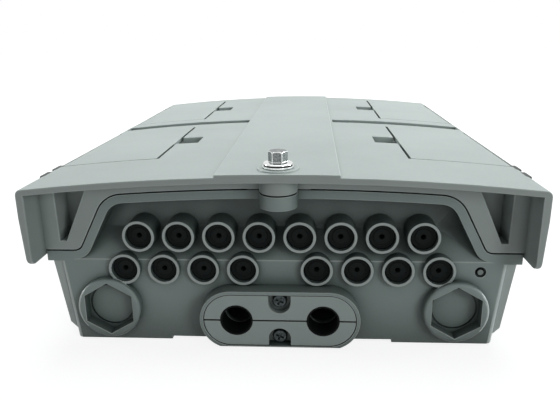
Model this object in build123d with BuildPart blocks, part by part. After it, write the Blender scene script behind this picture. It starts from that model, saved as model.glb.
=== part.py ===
from build123d import *
import math
import os

# Outdoor fibre termination box for sixteen drop cables, lying on its back.
# X runs across the box, Y along it with the cable end at -Y, Z up from the back to the cover.
# All sizes are in millimetres.

os.makedirs("parts", exist_ok=True)

# Cover
box_length = 311.0       # roof, from its front lip to its far edge
box_width = 242.4        # over the side walls
side_height = 83.6       # top of the roof at the side walls
roof_rise = 6.6          # the roof's arch, from the side walls to the middle
roof_wall = 3.2
side_wall = 3.9
side_lean = 1.2          # the outer side faces draw in this much towards the skirt
side_lean_start = 70.0
visor = 15.0             # roof and side walls stand this far forward of the end wall
skirt_lap = 2.7          # the cover's side walls reach this far below its sealing ledge
roof_edge_round = 3.0
wing_round = 4.0         # lower front corner of the side walls
band_half = 28.5         # raised band down the middle of the roof
band_rise = 1.2

# Tray
wall = 3.0
floor_wall = 4.0
rim_gap = 0.5            # from the tray's rim to the inside of the cover's side walls
rim_overhang = 6.2       # the rim stands out this far from the tray's side walls
tray_lean = 4.4          # the side walls lean out this much towards the rim
tray_corner = 3.0
flank_back = 2.5         # the wider flanks start this far behind the face of the end wall
flank_high_out = 4.6     # and stand out this far under the rim
flank_low_out = 3.1      # and this far at their lower edge
flank_low = 7.5          # height of their lower edge
flank_foot = 4.0         # and of the foot of the slope below it
flank_root = 1.0
back_recess_half = 56.0  # shallow channel down the back, between two feet
back_recess_deep = 1.5
hinge_room = 13.0        # from the tray's far wall to the cover's far edge
rim_height = 48.2
rim_thick = 5.2
rim_deep = 8.0           # depth of the sealing rim along Y at the cable end

# Raised end wall of the tray, a trapezoid that the cover closes round
end_height = 80.0
rim_shelf = 17.2         # from the rim's side edge to the foot of the slanted edge
end_lean = 16.4          # the slanted edge leans in this much towards the top
end_round = 14.0
foot_round = 5.0
parting_gap = 0.5

# Seal between tray and cover
seal_width = 2.6
seal_high = 2.2
seal_proud = 0.2
seal_ease = 0.1          # clearance at each side of its groove
seal_inset = 3.3         # seal middle line, in from the rim's outer edge
seal_far_inset = 2.7     # and in from the tray's far wall
seal_back = 5.0          # seal middle line, behind the face of the end wall

# Port recess and the sixteen port tubes
port_band = 4.3          # plain rim round the recess
recess_low = 44.0        # height where the recess runs out to the front face
recess_knee = 58.0
recess_knee_deep = 11.0
recess_deep = 13.0
port_pitch = 19.7
top_row_height = 57.0
low_row_height = 39.8
low_row_start = 18.1     # first port of the low row, from the middle
ports_per_row = 8
tube_radius = 7.9
tube_bore = 6.5
tube_proud = 3.0         # tube mouths stand this far forward of the end wall
tube_tail = 4.0          # tube behind the recess floor
end_split = 2.0          # the end wall's node ends this far behind the sealing rim
plug_ease = 0.1
plug_set_back = 2.5
plug_hole = 1.2          # small blind hole that the fitter pierces for a cable
plug_hole_deep = 5.0
plug_flange = 1.1
plug_flange_thick = 2.0

# Oval cable gland in the middle
gland_width = 79.0
gland_height = 31.0
gland_mid_height = 15.9
gland_wall = 1.8
gland_proud = 9.4
gland_seat_deep = 3.0    # the rubber's seat lies this far behind the front face
gland_seat_wall = 3.0
gland_plate_thick = 6.8
gland_ease = 0.25
gland_split = 0.6
cable_hole = 7.2
plate_hole = 8.0         # the rubber lines this hole up to its mouth
cable_hole_spread = 21.3
gland_screw_rise = 9.6
gland_notch = 5.4
gland_notch_floor = 2.4

# Blanked gland seats at both sides
cup_spread = 86.3
cup_height = 19.0
cup_radius = 15.9
cup_proud = 5.0
cup_hex = 13.8
cup_floor_deep = 1.6
blank_radius = 10.6
blank_groove = 1.0
blank_groove_deep = 1.2
cup_pad = 1.8            # extra thickness behind the blank
vent_spread = 97.4
vent_height = 38.8
vent_radius = 2.7
vent_deep = 1.4
vent_stem = 1.5
vent_gap = 0.6

# Lock: a captive bolt through two bosses, one on the cover and one on the tray
bolt_back = 11.0         # bolt axis, behind the roof's front lip
boss_radius = 9.0
boss_low = 73.2
seat_radius = 9.8
seat_rise = 0.7
bolt_radius = 2.5
bolt_hex_flats = 8.0
bolt_hex_high = 5.4
bolt_flange_radius = 6.9
bolt_flange_thick = 1.2
bolt_engage = 4.0        # length of the shank inside the insert
bolt_run = 0.1           # radial running clearance of the shank in the cover
washer_radius = 7.3
washer_thick = 1.0
insert_radius = 4.2
insert_ease = 0.6        # radial clearance of the shank in the insert's plain bore
insert_floor = 1.0
clip_radius = 4.4
clip_thick = 0.8
clip_gap = 0.4
clip_lift = 6.4
body_gap = 0.3           # gap between pieces that move against each other

# Cover hinge at the far end
hinge_radius = 3.5
hinge_pin_radius = 2.0
hinge_spread = 60.0
knuckle_half = 4.0
lug_width = 7.0
lug_root = 1.0           # the lugs start this far inside the tray's far face
hinge_drop = 4.2         # hinge axis below the cover's ledge and inside its far wall
pin_run = 0.08
pin_ease = 0.02

# Cover ledge, which presses on the seal
ledge_thick = 2.5
ledge_lip = 1.1          # ledge reach inside the tray's side walls
ledge_far = 2.5          # ledge reach inside the tray's far wall

# Four side flaps in the roof, and the channel between them
flap_inner = 66.9        # inner edge of the flaps
flap_thick = 2.4
flap_slit = 1.2
flap_end_gap = 0.5
flap_floor_gap = 0.4
flap_floor = 2.0
pocket_top_inner = 27.6  # corners of the three-cornered pockets, in from the side walls
pocket_top_outer = 7.5
pocket_low_inner = 11.1
pocket_low_outer = 8.1
pocket_low = 53.6
pocket_deep = 14.0
pocket_wall = 2.0
near_flap_start = 47.2   # from the front lip
near_flap_gap = 10.3     # from the near flaps to the channel
far_flap_gap = 14.3      # and from the channel to the far flaps
far_flap_inset = 13.8    # far flaps end this far from the far edge
flap_axis_inset = 4.4    # hinge axis, in from the cover's side face
flap_barrel = 2.8
flap_barrel_gap = 0.4
flap_pad_wall = 2.0
flap_pin_radius = 1.0
flap_pin_grip = 4.0
finger_width = 13.0      # finger recess, inward from the slit
finger_under = 4.0       # and under the flap's edge
finger_length = 20.0
finger_deep = 6.0
finger_wall = 2.0
channel_middle = 166.3
channel_width = 12.8
channel_deep = 2.0
channel_start = 30.0
channel_end_inset = 2.6
channel_floor = 2.4

# Inside: bracket inserts, adapter panel, splice tray, splitter and cable anchor
bracket_spread = 50.0
bracket_near = 66.0
bracket_far = 84.0       # from the far edge
bracket_boss = 6.5
bracket_boss_high = 16.0
bracket_insert = 4.0
bracket_bore = 2.6
panel_back = 92.0
panel_side_gap = 7.2
panel_edge = 4.0
panel_thick = 2.0
panel_high = 66.0
panel_foot = 14.0
adapter_rows = [26.0, 50.0]
adapter_width = 12.8
adapter_height = 9.3
adapter_length = 34.0
adapter_flange = 2.2
adapter_ease = 0.2
cap_radius = 3.4
cap_length = 3.0
splice_start = 125.0
splice_width = 160.0
splice_length = 100.0
splice_deep = 8.0
splice_sheet = 1.6
splice_lid_thick = 1.5
splice_post = 4.0
splice_post_high = 26.0
splice_post_inset = 8.0
splice_hub = 17.0
splice_screw = 1.4
splice_screw_deep = 10.0
splice_corner = 12.0
splice_hub_spread = 50.0
panel_screw_deep = 3.0
panel_screw_inset = 20.0
holder_slots = 12
holder_pitch = 5.0
holder_length = 42.0
splitter_gap = 12.0      # from the tray's far wall
splitter_width = 90.0
splitter_length = 44.0
splitter_high = 12.0
anchor_back = 46.0
anchor_half = 41.0
anchor_depth = 14.0
saddle_radius = 8.6
saddle_wall = 2.4
saddle_ear = 7.0
screw_radius = 1.9
screw_head = 3.6
screw_head_thick = 2.2
small_ease = 0.05

# Places worked out from the sizes above
front_y = -box_length / 2
far_y = box_length / 2
end_y = front_y + visor                  # outer face of the end wall
tray_far_y = far_y - hinge_room
half = box_width / 2
inner_half = half - side_wall
rim_half = inner_half - rim_gap
tray_half_high = rim_half - rim_overhang
tray_half_low = tray_half_high - tray_lean
ledge_half = tray_half_high - wall - ledge_lip
panel_half = tray_half_low - wall - panel_side_gap
adapter_pitch = 2 * (panel_half - panel_edge) / ports_per_row
end_foot = rim_half - rim_shelf
roof_top = side_height + roof_rise
arch_radius = (half ** 2 + roof_rise ** 2) / (2 * roof_rise)
bolt_y = front_y + bolt_back
port_face_y = end_y - tube_proud
ledge_low = rim_height + parting_gap
skirt_height = ledge_low - skirt_lap
hinge_y = far_y - side_wall - hinge_drop
hinge_z = ledge_low - hinge_drop
flap_axis = half - flap_axis_inset
flap_pocket_deep = flap_thick + flap_floor_gap
finger_inner = flap_inner - flap_slit - finger_width
finger_outer = flap_inner + finger_under
channel_y = front_y + channel_middle
boss_split = end_height + parting_gap
seat_top = roof_top + band_rise + seat_rise
clip_top = boss_split + clip_gap + clip_thick
bolt_flange_low = seat_top + washer_thick + body_gap
spare = 20.0                             # overshoot of a cut past the surface it opens


def roof_z(x):
    """Height of the roof's arched top at a place across the box."""
    return roof_top - arch_radius + math.sqrt(arch_radius ** 2 - x ** 2)


def section(y):
    """Plane across the box, seen from the cable end; it extrudes towards the cable end."""
    return Plane.XZ.offset(-y)


def roof_strip(x0, x1, low, high):
    """Face between the arch lowered by low and the arch lowered by high, from x0 to x1."""
    middle = (x0 + x1) / 2
    with BuildSketch(Plane.XY, mode=Mode.PRIVATE) as strip:
        with BuildLine():
            ThreePointArc((x0, roof_z(x0) - low), (middle, roof_z(middle) - low), (x1, roof_z(x1) - low))
            Line((x1, roof_z(x1) - low), (x1, roof_z(x1) - high))
            ThreePointArc((x1, roof_z(x1) - high), (middle, roof_z(middle) - high), (x0, roof_z(x0) - high))
            Line((x0, roof_z(x0) - high), (x0, roof_z(x0) - low))
        make_face()
    return strip.sketch


def under_roof(x, drop, bottom):
    """Face under the arch lowered by drop, between -x and x, down to bottom."""
    with BuildSketch(Plane.XY, mode=Mode.PRIVATE) as area:
        with BuildLine():
            ThreePointArc((-x, roof_z(x) - drop), (0, roof_top - drop), (x, roof_z(x) - drop))
            Polyline((x, roof_z(x) - drop), (x, bottom), (-x, bottom), (-x, roof_z(x) - drop))
        make_face()
    return area.sketch


def end_shape(grow, reach, bottom):
    """Outline of the raised end wall and its rim, grown by grow, out to reach, down to bottom."""
    run = end_lean / (end_height - rim_height)
    shift = grow * math.hypot(1, run)
    low = rim_height + grow
    top = end_foot - run * (roof_top - rim_height) + shift
    foot = end_foot - run * grow + shift
    with BuildSketch(Plane.XY, mode=Mode.PRIVATE) as shape:
        with BuildLine():
            Polyline((-reach, bottom), (-reach, low), (-foot, low), (-top, roof_top),
                     (top, roof_top), (foot, low), (reach, low), (reach, bottom), close=True)
        make_face()
        add(under_roof(reach, roof_top - end_height - grow, bottom), mode=Mode.INTERSECT)
        corners = [v for v in shape.vertices() if v.Y > (rim_height + end_height) / 2]
        fillet(corners, radius=end_round + grow)
        feet = [v for v in shape.vertices() if abs(abs(v.X) - foot) < 0.01 and abs(v.Y - low) < 0.01]
        fillet(feet, radius=foot_round - grow)
    return shape.sketch


def recess_side(thick):
    """Side view of the port recess, with its floor set back by thick."""
    with BuildSketch(Plane.XY, mode=Mode.PRIVATE) as side:
        with BuildLine():
            Polyline((end_y - 1, recess_low - thick), (end_y + thick, recess_low - thick),
                     (end_y + recess_knee_deep + thick, recess_knee - thick),
                     (end_y + recess_deep + thick, end_height), (end_y - 1, end_height), close=True)
        make_face()
    return side.sketch


def gland_outline():
    """Outline of the clamp plates and of the rubber, inside the gland's collar."""
    with BuildSketch(Plane.XY, mode=Mode.PRIVATE) as outline:
        with Locations((0, gland_mid_height)):
            SlotOverall(gland_width - 2 * (gland_wall + gland_ease),
                        gland_height - 2 * (gland_wall + gland_ease))
    return outline.sketch


def seal_front(ease):
    """The seal where it climbs over the end wall, seen from the cable end."""
    reach = rim_half - seal_inset + seal_width / 2 + ease
    deep = seal_high - seal_proud
    return end_shape(seal_proud, reach, 0) - end_shape(-deep, reach + 1, 0)


def seal_loop(ease):
    """The seal round the sides and the far end, seen from above."""
    x = rim_half - seal_inset
    y0 = end_y + seal_back
    y1 = tray_far_y - seal_far_inset
    outer = seal_width / 2 + ease
    with BuildSketch(Plane.XY, mode=Mode.PRIVATE) as loop:
        with Locations((0, (y0 + y1) / 2)):
            Rectangle(2 * (x + outer), y1 - y0 + 2 * outer)
            Rectangle(2 * (x - outer), y1 - y0 - 2 * outer, mode=Mode.SUBTRACT)
        with Locations((0, y0)):
            Rectangle(2 * (x - outer), 4 * outer, mode=Mode.SUBTRACT)
    return loop.sketch


def front_pocket(grow):
    """Outline of both three-cornered pockets in the cover's end wall, grown by grow."""
    with BuildSketch(Plane.XY, mode=Mode.PRIVATE) as pocket:
        with BuildLine():
            Polyline((inner_half - pocket_top_inner - grow, roof_top),
                     (inner_half - pocket_top_outer + grow, roof_top),
                     (inner_half - pocket_low_outer + grow, pocket_low - grow),
                     (inner_half - pocket_low_inner - grow, pocket_low - grow), close=True)
        make_face()
        add(under_roof(inner_half, roof_wall - grow / 2, pocket_low - 2 * pocket_wall), mode=Mode.INTERSECT)
        mirror(about=Plane.YZ)
    return pocket.sketch


low_row = [low_row_start + port_pitch * i for i in range(ports_per_row // 2)]
top_row = [port_pitch * (i + 0.5) for i in range(ports_per_row // 2)]
port_spots = [(x, top_row_height) for x in sorted([-x for x in top_row] + top_row)]
port_spots += [(x, low_row_height) for x in sorted([-x for x in low_row] + low_row)]
cup_spots = [(-cup_spread, cup_height), (cup_spread, cup_height)]
cable_spots = [(-cable_hole_spread, gland_mid_height), (cable_hole_spread, gland_mid_height)]
gland_screw_spots = [(0, gland_mid_height + gland_screw_rise), (0, gland_mid_height - gland_screw_rise)]
bracket_spots = [(sx * bracket_spread, y) for sx in (-1, 1)
                 for y in (front_y + bracket_near, far_y - bracket_far)]
splice_middle = front_y + splice_start + splice_length / 2
splice_spots = [(sx * (splice_width / 2 - splice_post_inset),
                 splice_middle + sy * (splice_length / 2 - splice_post_inset))
                for sx in (-1, 1) for sy in (-1, 1)]
splice_z = floor_wall + splice_post_high
anchor_spots = [(sx * cable_hole_spread + ear * (saddle_radius + saddle_wall + saddle_ear / 2), anchor_y)
                for sx in (-1, 1) for ear in (-1, 1)
                for anchor_y in [front_y + anchor_back + anchor_depth / 2]]
panel_screw_spots = [(sx * (panel_half - panel_screw_inset), front_y + panel_back + panel_foot / 2 + 1)
                     for sx in (-1, 1)]
splice_hubs = [(-splice_hub_spread, splice_middle), (splice_hub_spread, splice_middle)]
hinge_places = [-hinge_spread, hinge_spread]
tube_end_y = end_y + recess_deep + wall + tube_tail
flap_spans = {"near": (front_y + near_flap_start, channel_y - channel_width / 2 - near_flap_gap),
              "far": (channel_y + channel_width / 2 + far_flap_gap, far_y - far_flap_inset)}
flap_axis_z = roof_z(flap_axis) - flap_barrel

# The hollow of the port recess, and the thicker block that carries its floor
with BuildPart() as recess:
    with BuildSketch(Plane.YZ):
        add(recess_side(0))
    extrude(amount=half, both=True)
    with BuildSketch(section(end_y + recess_deep + spare)):
        add(end_shape(-port_band, rim_half, 0))
    extrude(amount=2 * spare + recess_deep, mode=Mode.INTERSECT)

with BuildPart() as recess_block:
    with BuildSketch(Plane.YZ):
        add(recess_side(wall))
    extrude(amount=half, both=True)
    with BuildSketch(section(end_y + recess_deep + spare)):
        add(end_shape(wall - port_band, ledge_half, 0))
    extrude(amount=spare + recess_deep, mode=Mode.INTERSECT)

# Tray: the whole lower half of the box, moulded in one piece
with BuildPart() as tray:
    with BuildSketch(section(tray_far_y)):
        with BuildLine():
            Polyline((-tray_half_low, 0), (tray_half_low, 0), (tray_half_high, rim_height - rim_thick),
                     (-tray_half_high, rim_height - rim_thick), close=True)
        make_face()
    extrude(amount=tray_far_y - end_y)
    corners = tray.edges().filter_by(lambda e: abs(e.center().Z - (rim_height - rim_thick) / 2) < 1)
    fillet(corners, radius=tray_corner)
    with BuildSketch(Plane.XY.offset(rim_height - rim_thick)):
        with Locations((0, (end_y + tray_far_y) / 2)):
            RectangleRounded(2 * rim_half, tray_far_y - end_y, 2)
    extrude(amount=rim_thick)
    with BuildSketch(section(end_y + rim_deep)):
        add(end_shape(0, rim_half, rim_height - rim_thick))
    extrude(amount=rim_deep)
    # Wider flanks under the rim, behind the face of the end wall
    for side in (-1, 1):
        under = rim_height - rim_thick
        foot_x, low_x = [tray_half_low + tray_lean * z / under for z in (flank_foot, flank_low)]
        with BuildSketch(section(tray_far_y - tray_corner)):
            with BuildLine():
                Polyline((side * (tray_half_high - flank_root), under), (side * (foot_x - flank_root), flank_foot),
                         (side * foot_x, flank_foot), (side * (low_x + flank_low_out), flank_low),
                         (side * (tray_half_high + flank_high_out), under), close=True)
            make_face()
        extrude(amount=tray_far_y - tray_corner - end_y - flank_back)
    # Inside of the tray, below the rim, and the narrower mouth inside the rim
    with BuildSketch(section(tray_far_y - wall)):
        with BuildLine():
            Polyline((-tray_half_low + wall, floor_wall), (tray_half_low - wall, floor_wall),
                     (tray_half_high - wall, rim_height - rim_thick - wall),
                     (-tray_half_high + wall, rim_height - rim_thick - wall), close=True)
        make_face()
    extrude(amount=tray_far_y - end_y - 2 * wall, mode=Mode.SUBTRACT)
    with BuildSketch(Plane.XY.offset(rim_height - rim_thick - wall)):
        with Locations((0, (end_y + rim_deep + tray_far_y - 2 * wall) / 2)):
            Rectangle(2 * ledge_half, tray_far_y - 2 * wall - end_y - rim_deep)
    extrude(amount=wall + rim_thick, mode=Mode.SUBTRACT)
    with BuildSketch(section(end_y + rim_deep)):
        add(end_shape(-port_band - 1, ledge_half, rim_height - rim_thick - wall))
    extrude(amount=rim_deep - wall, mode=Mode.SUBTRACT)
    # Port block, its recess and the port tubes
    add(recess_block.part)
    add(recess.part, mode=Mode.SUBTRACT)
    with BuildSketch(section(tube_end_y)):
        with Locations(port_spots):
            Circle(tube_radius)
    extrude(amount=tube_end_y - port_face_y)
    with BuildSketch(section(tube_end_y)):
        with Locations(port_spots):
            Circle(tube_bore)
    extrude(amount=tube_end_y - port_face_y, mode=Mode.SUBTRACT)
    # Oval collar and seat of the cable gland
    with BuildSketch(section(end_y + gland_seat_deep + gland_seat_wall)):
        with Locations((0, gland_mid_height)):
            SlotOverall(gland_width, gland_height)
    extrude(amount=gland_seat_deep + gland_seat_wall + gland_proud)
    with BuildSketch(section(end_y + gland_seat_deep)):
        with Locations((0, gland_mid_height)):
            SlotOverall(gland_width - 2 * gland_wall, gland_height - 2 * gland_wall)
    extrude(amount=gland_seat_deep + gland_proud, mode=Mode.SUBTRACT)
    with BuildSketch(section(end_y + gland_seat_deep + gland_seat_wall)):
        with Locations(cable_spots):
            Circle(cable_hole)
        with Locations(gland_screw_spots):
            Circle(screw_radius + small_ease)
    extrude(amount=gland_seat_wall, mode=Mode.SUBTRACT)
    # Cups of the two blanked gland seats, each with a hexagon recess and a scored blank
    with BuildSketch(section(end_y + wall + cup_pad)):
        with Locations(cup_spots):
            Circle(cup_radius)
    extrude(amount=wall + cup_pad + cup_proud)
    rims = tray.edges().filter_by(GeomType.CIRCLE).filter_by(
        lambda e: abs(e.radius - cup_radius) < 0.01 and abs(e.center().Y - end_y + cup_proud) < 0.01)
    fillet(rims, radius=1.6)
    with BuildSketch(section(end_y + cup_floor_deep)):
        with Locations(cup_spots):
            RegularPolygon(cup_hex, 6, rotation=30)
    extrude(amount=cup_floor_deep + cup_proud, mode=Mode.SUBTRACT)
    with BuildSketch(section(end_y + cup_floor_deep + blank_groove_deep)):
        with Locations(cup_spots):
            Circle(blank_radius + blank_groove)
            Circle(blank_radius, mode=Mode.SUBTRACT)
    extrude(amount=blank_groove_deep, mode=Mode.SUBTRACT)
    # Vent hole beside the ports
    with BuildSketch(section(end_y + vent_deep)):
        with Locations((vent_spread, vent_height)):
            Circle(vent_radius)
    extrude(amount=vent_deep, mode=Mode.SUBTRACT)
    with BuildSketch(section(end_y + wall)):
        with Locations((vent_spread, vent_height)):
            Circle(vent_stem + small_ease)
    extrude(amount=wall, mode=Mode.SUBTRACT)
    # Boss for the lock bolt
    with BuildSketch(Plane.XY.offset(boss_low)):
        with Locations((0, bolt_y)):
            Circle(boss_radius)
    extrude(amount=end_height - boss_low)
    with BuildSketch(Plane.XY.offset(boss_low + insert_floor)):
        with Locations((0, bolt_y)):
            Circle(insert_radius)
    extrude(amount=end_height - boss_low, mode=Mode.SUBTRACT)
    # Groove for the seal
    with BuildSketch(section(end_y + seal_back + seal_width / 2 + seal_ease)):
        add(seal_front(seal_ease))
    extrude(amount=seal_width + 2 * seal_ease, mode=Mode.SUBTRACT)
    with BuildSketch(Plane.XY.offset(rim_height + seal_proud - seal_high)):
        add(seal_loop(seal_ease))
    extrude(amount=seal_high, mode=Mode.SUBTRACT)
    # Hinge lugs on the far wall
    for place in hinge_places:
        for side in (-1, 1):
            lug_x = place + side * (knuckle_half + body_gap + lug_width / 2)
            with BuildSketch(Plane.YZ.offset(lug_x)):
                with Locations((hinge_y, hinge_z)):
                    Circle(hinge_radius)
                with Locations(((tray_far_y - lug_root + hinge_y) / 2, hinge_z)):
                    Rectangle(hinge_y - tray_far_y + lug_root, 2 * hinge_radius)
                with Locations((hinge_y, hinge_z)):
                    Circle(hinge_pin_radius + pin_ease, mode=Mode.SUBTRACT)
            extrude(amount=lug_width / 2, both=True)
    # Channel down the back, bosses for the wall bracket, posts and pads for what is inside
    with Locations((0, 0, 0)):
        Box(2 * back_recess_half, box_length, 2 * back_recess_deep, mode=Mode.SUBTRACT)
    with BuildSketch(Plane.XY.offset(back_recess_deep)):
        with Locations(bracket_spots):
            Circle(bracket_boss)
    extrude(amount=bracket_boss_high)
    with BuildSketch(Plane.XY.offset(back_recess_deep)):
        with Locations(bracket_spots):
            Circle(bracket_insert)
    extrude(amount=bracket_boss_high - floor_wall / 2, mode=Mode.SUBTRACT)
    with BuildSketch(Plane.XY.offset(floor_wall)):
        with Locations(splice_spots):
            Circle(splice_post)
    extrude(amount=splice_post_high)
    with BuildSketch(Plane.XY.offset(floor_wall)):
        with Locations(splice_spots):
            Circle(splice_screw + small_ease)
    extrude(amount=splice_post_high, mode=Mode.SUBTRACT)
    with BuildSketch(Plane.XY.offset(floor_wall - panel_screw_deep)):
        with Locations(panel_screw_spots):
            Circle(screw_radius + small_ease)
    extrude(amount=panel_screw_deep, mode=Mode.SUBTRACT)
    with BuildSketch(Plane.XY.offset(floor_wall)):
        with Locations((0, front_y + anchor_back + anchor_depth / 2)):
            Rectangle(2 * anchor_half, anchor_depth)
        with Locations(anchor_spots):
            Circle(screw_radius + small_ease, mode=Mode.SUBTRACT)
    extrude(amount=gland_mid_height - saddle_radius - floor_wall)

# The one moulding is kept as two nodes that meet face to face: the end wall with its ports, and the rest
with BuildPart() as end_region:
    with BuildSketch(section(end_y + rim_deep + end_split)):
        Rectangle(box_width, 2 * roof_top)
    extrude(amount=rim_deep + end_split + visor)
    with BuildSketch(section(tube_end_y + spare)):
        with Locations((0, low_row_height + roof_top / 2 - tube_radius - wall)):
            Rectangle(2 * (ledge_half - wall), roof_top)
    extrude(amount=tube_end_y + spare - end_y)
end_wall = tray.part & end_region.part
end_wall.label = "end_wall"
export_step(end_wall, "parts/end_wall.step")
shell = tray.part - end_region.part
shell.label = "base_tray"
export_step(shell, "parts/base_tray.step")

# Cover: arched roof, side walls that run on past the end wall, and the flap pockets
with BuildPart() as cover:
    with BuildSketch(section(far_y)):
        add(under_roof(half, 0, skirt_height))
    extrude(amount=box_length)
    sides = cover.edges().filter_by(Axis.Y).group_by(Axis.Z)[-1]
    fillet(sides, radius=roof_edge_round)
    with BuildSketch(section(far_y)):
        add(roof_strip(-band_half, band_half, roof_wall / 2, -band_rise))
    extrude(amount=box_length)
    for back, depth in ((end_y, visor), (far_y - side_wall, box_length - visor - wall - side_wall)):
        with BuildSketch(section(back)):
            add(under_roof(inner_half, roof_wall, skirt_height))
        extrude(amount=depth, mode=Mode.SUBTRACT)
    tips = cover.edges().filter_by(Axis.X).filter_by(
        lambda e: abs(e.center().Y - front_y) < 0.01 and abs(e.center().Z - skirt_height) < 0.01)
    fillet(tips, radius=wing_round)
    for side in (-1, 1):
        with BuildSketch(section(far_y)):
            with BuildLine():
                Polyline((side * half, side_lean_start), (side * (half + spare), side_lean_start),
                         (side * (half + spare), skirt_height), (side * (half - side_lean), skirt_height), close=True)
            make_face()
        extrude(amount=box_length, mode=Mode.SUBTRACT)
    # Sealing ledge round the mouth, and the rim round the tray's raised end wall
    with BuildSketch(Plane.XY.offset(ledge_low)):
        with Locations((0, (end_y + far_y - side_wall) / 2)):
            Rectangle(2 * inner_half, far_y - side_wall - end_y)
        ledge_end = tray_far_y - wall - ledge_far
        with Locations((0, (end_y + rim_deep + ledge_end) / 2)):
            Rectangle(2 * ledge_half, ledge_end - end_y - rim_deep, mode=Mode.SUBTRACT)
    extrude(amount=ledge_thick)
    with BuildSketch(section(end_y + rim_deep)):
        add(end_shape(parting_gap + ledge_thick, inner_half, skirt_height) &
            under_roof(inner_half, roof_wall / 2, skirt_height))
    extrude(amount=rim_deep)
    with BuildSketch(section(end_y + rim_deep + spare)):
        add(end_shape(parting_gap, inner_half, skirt_height - 1))
    extrude(amount=rim_deep + spare, mode=Mode.SUBTRACT)
    with BuildSketch(section(far_y)):
        with Locations((0, skirt_height)):
            Rectangle(2 * inner_half, 2 * (ledge_low - skirt_height))
    extrude(amount=box_length, mode=Mode.SUBTRACT)
    # Three-cornered pockets on both sides of the raised end wall
    with BuildSketch(section(end_y + pocket_deep + pocket_wall)):
        add(front_pocket(pocket_wall))
    extrude(amount=pocket_deep)
    with BuildSketch(section(end_y + pocket_deep)):
        add(front_pocket(0))
    extrude(amount=pocket_deep, mode=Mode.SUBTRACT)
    # Thicker roof under the flaps, their finger recesses, their hinge pins and the channel
    for side in (-1, 1):
        for start, end in flap_spans.values():
            middle = (start + end) / 2
            x0, x1 = sorted((side * (flap_inner - flap_slit - flap_pad_wall), side * inner_half))
            with BuildSketch(section(end + flap_pad_wall)):
                add(roof_strip(x0, x1, flap_pocket_deep + flap_floor, roof_wall / 2))
            extrude(amount=end - start + 2 * flap_pad_wall)
            x0, x1 = sorted((side * (finger_inner - finger_wall), side * (finger_outer + finger_wall)))
            with BuildSketch(section(middle + finger_length / 2 + finger_wall)):
                add(roof_strip(x0, x1, finger_deep + finger_wall, roof_wall / 2))
            extrude(amount=finger_length + 2 * finger_wall)
            with BuildSketch(section(end + flap_pin_grip + flap_pad_wall)):
                with Locations((side * flap_axis, flap_axis_z)):
                    Circle(flap_barrel + flap_barrel_gap + flap_pad_wall)
                add(under_roof(inner_half + side_wall / 2, roof_wall / 2, skirt_height), mode=Mode.INTERSECT)
            extrude(amount=end - start + 2 * (flap_pin_grip + flap_pad_wall))
        x0, x1 = sorted((side * (channel_start - channel_floor), side * inner_half))
        with BuildSketch(section(channel_y + channel_width / 2 + channel_floor)):
            add(roof_strip(x0, x1, channel_deep + channel_floor, roof_wall / 2))
        extrude(amount=channel_width + 2 * channel_floor)
    # Flap pockets with a trough for each hinge barrel, finger recesses, pin holes and the channel
    for side in (-1, 1):
        for start, end in flap_spans.values():
            middle = (start + end) / 2
            x0, x1 = sorted((side * (flap_inner - flap_slit), side * flap_axis))
            trough = flap_barrel + flap_barrel_gap
            with BuildSketch(section(end)):
                add(roof_strip(x0, x1, flap_pocket_deep, -spare))
                with Locations((side * flap_axis, flap_axis_z)):
                    Circle(trough)
                with Locations((side * (flap_axis + trough / 2), flap_axis_z + spare / 2)):
                    Rectangle(trough, spare)
            extrude(amount=end - start, mode=Mode.SUBTRACT)
            x0, x1 = sorted((side * finger_inner, side * finger_outer))
            with BuildSketch(section(middle + finger_length / 2)):
                add(roof_strip(x0, x1, finger_deep, -spare))
            extrude(amount=finger_length, mode=Mode.SUBTRACT)
            with BuildSketch(section(end + flap_pin_grip)):
                with Locations((side * flap_axis, flap_axis_z)):
                    Circle(flap_pin_radius + pin_ease)
            extrude(amount=end - start + 2 * flap_pin_grip, mode=Mode.SUBTRACT)
        x0, x1 = sorted((side * channel_start, side * (half - channel_end_inset)))
        with BuildSketch(section(channel_y + channel_width / 2)):
            add(roof_strip(x0, x1, channel_deep, -spare))
        extrude(amount=channel_width, mode=Mode.SUBTRACT)
    # Boss and seat for the lock bolt
    with BuildSketch(Plane.XY.offset(boss_split)):
        with Locations((0, bolt_y)):
            Circle(boss_radius)
    extrude(amount=roof_top - roof_wall / 2 - boss_split)
    with BuildSketch(Plane.XY.offset(roof_top)):
        with Locations((0, bolt_y)):
            Circle(seat_radius)
    extrude(amount=band_rise + seat_rise)
    with BuildSketch(Plane.XY.offset(boss_split)):
        with Locations((0, bolt_y)):
            Circle(clip_radius + clip_gap)
    extrude(amount=clip_top + clip_lift + body_gap - boss_split, mode=Mode.SUBTRACT)
    with BuildSketch(Plane.XY.offset(boss_split)):
        with Locations((0, bolt_y)):
            Circle(bolt_radius + bolt_run)
    extrude(amount=spare, mode=Mode.SUBTRACT)
    # Hinge knuckles between the tray's lugs
    for place in hinge_places:
        with BuildSketch(Plane.YZ.offset(place)):
            with Locations((hinge_y, hinge_z)):
                Circle(hinge_radius)
            with Locations((hinge_y, (hinge_z + ledge_low + ledge_thick / 2) / 2)):
                Rectangle(2 * hinge_radius, ledge_low + ledge_thick / 2 - hinge_z)
            with Locations((hinge_y, hinge_z)):
                Circle(hinge_pin_radius + pin_run, mode=Mode.SUBTRACT)
        extrude(amount=knuckle_half, both=True)
cover.part.label = "cover"
export_step(cover.part, "parts/cover.step")

# Rubber seal in the tray's rim
with BuildPart() as seal:
    with BuildSketch(section(end_y + seal_back + seal_width / 2)):
        add(seal_front(0))
    extrude(amount=seal_width)
    with BuildSketch(Plane.XY.offset(rim_height + seal_proud - seal_high)):
        add(seal_loop(0))
    extrude(amount=seal_high)
seal.part.label = "cover_seal"
export_step(seal.part, "parts/cover_seal.step")

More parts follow.
